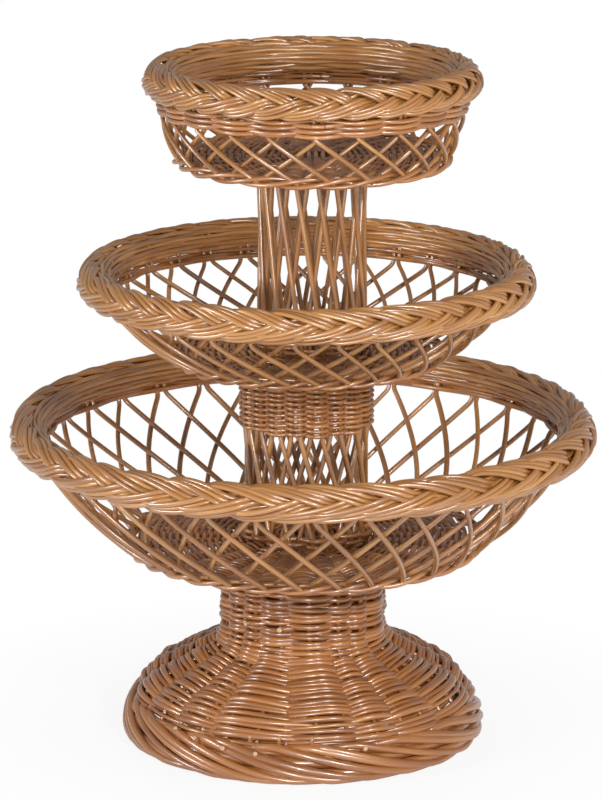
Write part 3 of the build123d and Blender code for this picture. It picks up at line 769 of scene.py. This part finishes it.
def footWeaveRods():  # one weaver after another, in front of a stake and behind the next
    dice = np.random.default_rng(foot["seed"] + 1)
    rods, points, girths = [], [], []
    a, m, used = dice.uniform(0, fullTurn), foot["coarseHeight"], dice.uniform(0, footWeaver["length"])
    step = fullTurn / foot["stakes"] / footWeaver["stepsPerStake"]
    wobble = dice.uniform(0, fullTurn, 3)
    slow, quick = footWeaver["swayTurns"]
    taper = footWeaver["tip"] - footWeaver["butt"]
    while m < footEnd:
        girth = footWeaver["butt"] + taper * used / footWeaver["length"]
        uneven = sum(math.sin(n * a + wobble[n % 3] + footWeaver["driftDown"] * m) for n in (2, 3, 5))
        wave = math.cos(foot["stakes"] / 2 * a + uneven * footWeaver["stakeDrift"])
        sway = math.sin(slow * a + wobble[0]) + footWeaver["swayShare"] * math.sin(quick * a + wobble[1])
        shift = wave * (foot["stakeRadius"] + girth) * footWeaver["reach"]
        r, z = footPoint(np.array([m + footWeaver["sway"] * sway]), shift)
        points.append([r[0] * math.cos(a), r[0] * math.sin(a), z[0]])
        girths.append(girth)
        a += step
        m += footWeaver["packing"] * girth * step / fullTurn
        used += r[0] * step
        if used > footWeaver["length"] and wave < footWeaver["hidden"]:
            rods.append((np.array(points), np.array(girths)))
            points, girths, used = points[-1:], [footWeaver["butt"]], 0.0
    rods.append((np.array(points), np.array(girths)))
    out = np.array(cutEnds["out"])
    beside = np.array(cutEnds["beside"]) * cutEnds["length"] / foot["neckRadius"]
    for angle, m in cutEnds["places"]:
        r, z = footPoint(np.full(len(out), float(m)), out)
        rods.append((roundAxis(0, r, math.radians(angle) + beside, z), cutEnds["radius"]))
    return rods


neckWeave = {
    "rows": 5, "firstRow": 2.5, "rowStep": 3.9, "radius": 2.1, "stepsPerStake": 8,
    "reach": 0.95, "sway": 0.5, "girthDrift": 0.1,
}


def neckWeaveRods():
    dice = np.random.default_rng(foot["seed"] + 2)
    turn = np.linspace(0, fullTurn, foot["stakes"] * neckWeave["stepsPerStake"] + 1)
    rods = []
    for row in range(neckWeave["rows"]):
        a = turn + dice.uniform(0, fullTurn)
        wave = np.cos(foot["stakes"] / 2 * a + np.pi * row)
        m = neckWeave["firstRow"] + row * neckWeave["rowStep"] + drift(a, neckWeave["sway"], dice)
        r, z = footPoint(m, wave * (foot["stakeRadius"] + neckWeave["radius"]) * neckWeave["reach"])
        girth = neckWeave["radius"] * (1 + neckWeave["girthDrift"] * dice.normal())
        rods.append((roundAxis(0, r, a, z), girth))
    return rods


footBorder = {
    "rods": 32, "butt": 3.9, "tip": 2.8, "span": math.radians(78), "steps": 48,
    "halfLength": 21, "halfThickness": 10, "lean": math.radians(20),  # of the roll, as in the solids
    "from": math.radians(28), "to": math.radians(212),  # round the roll, from its upper end
    "startDepth": 5, "startShare": 0.14,  # a rod comes out from under the weave
    "beginDrift": 0.25, "spanDrift": 0.07, "girthDrift": 0.1, "depthDrift": 0.5,
    "bedRadius": 5, "bedPlaces": (-11, -1, 8), "bedSway": 0.3, "bedSteps": 120,  # rods laid inside the roll
}
stubs = {  # cut ends between the border's rods, at an angle and a place round the roll
    "places": (
        (-136, 55), (-127, 65), (-116, 75), (-105, 78), (-70, 70),
        (-108, 30), (-98, 28), (-87, 30), (60, 60), (140, 70),
    ),
    "radius": 1.9, "inside": 6, "outside": -1.8,
}


def footBorderPoint(section, a, girth):  # section is measured outward from the border's upper end
    up = (footBorder["halfLength"] - girth) * np.cos(section)
    out = (footBorder["halfThickness"] - girth) * np.sin(section)
    sine, cosine = math.sin(footBorder["lean"]), math.cos(footBorder["lean"])
    r = foot["border"][0] + out * cosine - up * sine
    z = foot["border"][1] + out * sine + up * cosine
    return roundAxis(0, r, a, np.maximum(z, girth))


def footBorderRods():
    dice = np.random.default_rng(foot["seed"] + 3)
    u = np.linspace(0, 1, footBorder["steps"])
    section = footBorder["from"] + (footBorder["to"] - footBorder["from"]) * u
    hidden = footBorder["startDepth"] * (1 - easeStep(u, 0, footBorder["startShare"]))
    taper = footBorder["butt"] + (footBorder["tip"] - footBorder["butt"]) * u
    rods = []
    for index in range(footBorder["rods"]):
        begin = (index + footBorder["beginDrift"] * dice.normal()) * fullTurn / footBorder["rods"]
        a = begin + u * footBorder["span"] * (1 + footBorder["spanDrift"] * dice.normal())
        girth = taper * (1 + footBorder["girthDrift"] * dice.normal())
        depth = girth + hidden + footBorder["depthDrift"] * dice.random()
        rods.append((footBorderPoint(section, a, depth), girth))
    a = np.linspace(0, fullTurn, footBorder["bedSteps"] + 1)
    for up in footBorder["bedPlaces"]:
        r = foot["border"][0] - up * math.sin(footBorder["lean"]) + drift(a, footBorder["bedSway"], dice)
        z = foot["border"][1] + up * math.cos(footBorder["lean"])
        rods.append((roundAxis(0, r, a, z), footBorder["bedRadius"]))
    depths = np.linspace(stubs["inside"], stubs["outside"], 4)
    for angle, place in stubs["places"]:
        section, a = math.radians(place), np.array([math.radians(angle)])
        line = np.concatenate([footBorderPoint(section, a, depth) for depth in depths])
        rods.append((line, stubs["radius"]))
    return rods


for label, node, rods, sides in (
    ("FootStakes", "foot_stakes", footStakeRods(), 8),
    ("FootWeave", "foot_weave", footWeaveRods(), 8),
    ("NeckWeave", "neck_weave", neckWeaveRods(), 8),
    ("FootBorder", "foot_border", footBorderRods(), 10),
):
    makePiece("lower" + label, rods, "lower_tier", [node], "willow_foot", foot["seed"], sides)
print("foot woven")


# Stage: white floor and surroundings, studio lights, camera at the photograph's angle

stage = {
    "floorSize": 30, "floorGrey": 0.85, "worldLight": 0.18, "lightAim": (0, 0, 0.3),
    "glossShare": 0.1,  # of the white surroundings in reflections
    "nearGlow": 0.88, "glowFrom": 0.16, "glowTo": 0.4,  # plain white away from the foot, shadow beside it
}


# 1 where the eye sees the surroundings, straight or through something, and a share in reflections
def seenByEye(nodes, links):
    path = nodes.new("ShaderNodeLightPath")
    gloss = nodes.new("ShaderNodeMath")
    gloss.operation = "MULTIPLY"
    gloss.inputs[1].default_value = stage["glossShare"]
    links.new(path.outputs["Is Glossy Ray"], gloss.inputs[0])
    first = nodes.new("ShaderNodeMath")
    first.operation = "MAXIMUM"
    links.new(path.outputs["Is Camera Ray"], first.inputs[0])
    links.new(gloss.outputs[0], first.inputs[1])
    second = nodes.new("ShaderNodeMath")
    second.operation = "MAXIMUM"
    links.new(first.outputs[0], second.inputs[0])
    links.new(path.outputs["Is Transmission Ray"], second.inputs[1])
    return second.outputs[0]


def makeFloor():
    mesh = bpy.data.meshes.new("stageFloor")
    shape = bmesh.new()
    bmesh.ops.create_grid(shape, x_segments=1, y_segments=1, size=stage["floorSize"])
    shape.to_mesh(mesh)
    shape.free()
    plane = bpy.data.objects.new("stageFloor", mesh)
    bpy.context.scene.collection.objects.link(plane)
    material = bpy.data.materials.new("paleFloor")
    material.use_nodes = True
    nodes, links = material.node_tree.nodes, material.node_tree.links
    nodes.clear()
    out = nodes.new("ShaderNodeOutputMaterial")
    lit = nodes.new("ShaderNodeBsdfDiffuse")
    lit.inputs["Color"].default_value = (*[stage["floorGrey"]] * 3, 1)
    glow = nodes.new("ShaderNodeEmission")
    where = nodes.new("ShaderNodeTexCoord")
    away = nodes.new("ShaderNodeVectorMath")
    away.operation = "LENGTH"
    links.new(where.outputs["Object"], away.inputs[0])
    share = nodes.new("ShaderNodeMapRange")
    share.inputs["From Min"].default_value = stage["glowFrom"]
    share.inputs["From Max"].default_value = stage["glowTo"]
    share.inputs["To Min"].default_value = stage["nearGlow"]
    links.new(away.outputs["Value"], share.inputs["Value"])
    seen = nodes.new("ShaderNodeMixShader")
    links.new(share.outputs["Result"], seen.inputs["Fac"])
    links.new(lit.outputs[0], seen.inputs[1])
    links.new(glow.outputs[0], seen.inputs[2])
    pick = nodes.new("ShaderNodeMixShader")
    links.new(seenByEye(nodes, links), pick.inputs["Fac"])
    links.new(lit.outputs[0], pick.inputs[1])
    links.new(seen.outputs[0], pick.inputs[2])
    links.new(pick.outputs[0], out.inputs["Surface"])
    mesh.materials.append(material)


def makeWorld():
    world = bpy.data.worlds.new("studio")
    bpy.context.scene.world = world
    world.use_nodes = True
    nodes, links = world.node_tree.nodes, world.node_tree.links
    sky = nodes["Background"]
    sky.inputs["Color"].default_value = (1, 1, 1, 1)
    strength = nodes.new("ShaderNodeMapRange")
    strength.inputs["To Min"].default_value = stage["worldLight"]
    links.new(seenByEye(nodes, links), strength.inputs["Value"])
    links.new(strength.outputs["Result"], sky.inputs["Strength"])


lights = {
    "keyRight": {"place": (1.4, -2.6, 1.7), "size": 0.4, "watts": 46, "gloss": True},
    "frontBox": {"place": (-0.05, -3.4, 0.75), "size": 0.3, "watts": 45, "gloss": True},
    "fillLeft": {"place": (-2.4, -1.0, 1.0), "size": 0.8, "watts": 34, "gloss": True},
    "fillRight": {"place": (2.5, -0.4, 1.0), "size": 1.0, "watts": 18, "gloss": False},
    "backBox": {"place": (-0.4, 3.2, 1.8), "size": 1.2, "watts": 30, "gloss": False},
}


def makeLights():
    for name, light in lights.items():
        lamp = bpy.data.lights.new(name, "AREA")
        lamp.shape = "SQUARE"
        lamp.size = light["size"]
        lamp.energy = light["watts"]
        lantern = bpy.data.objects.new(name, lamp)
        bpy.context.scene.collection.objects.link(lantern)
        lantern.location = light["place"]
        lantern.visible_glossy = light["gloss"]
        aim = Vector(stage["lightAim"]) - Vector(light["place"])
        lantern.rotation_euler = aim.to_track_quat("-Z", "Y").to_euler()


view = {
    "place": (-0.0017, -3.3, 1.159), "aimHeight": 0.2963,
    "focalPixels": 3947, "framePixels": 800, "sensorWidth": 36,
}


def makeCamera():
    data = bpy.data.cameras.new("photoCamera")
    data.sensor_width = view["sensorWidth"]
    data.lens = view["focalPixels"] / view["framePixels"] * view["sensorWidth"]
    camera = bpy.data.objects.new("photoCamera", data)
    bpy.context.scene.collection.objects.link(camera)
    camera.location = view["place"]
    aim = Vector((view["place"][0], 0, view["aimHeight"])) - Vector(view["place"])
    camera.rotation_euler = aim.to_track_quat("-Z", "Y").to_euler()
    bpy.context.scene.camera = camera


makeFloor()
makeWorld()
makeLights()
makeCamera()
bpy.context.scene.view_settings.view_transform = "Standard"
print("stage set")
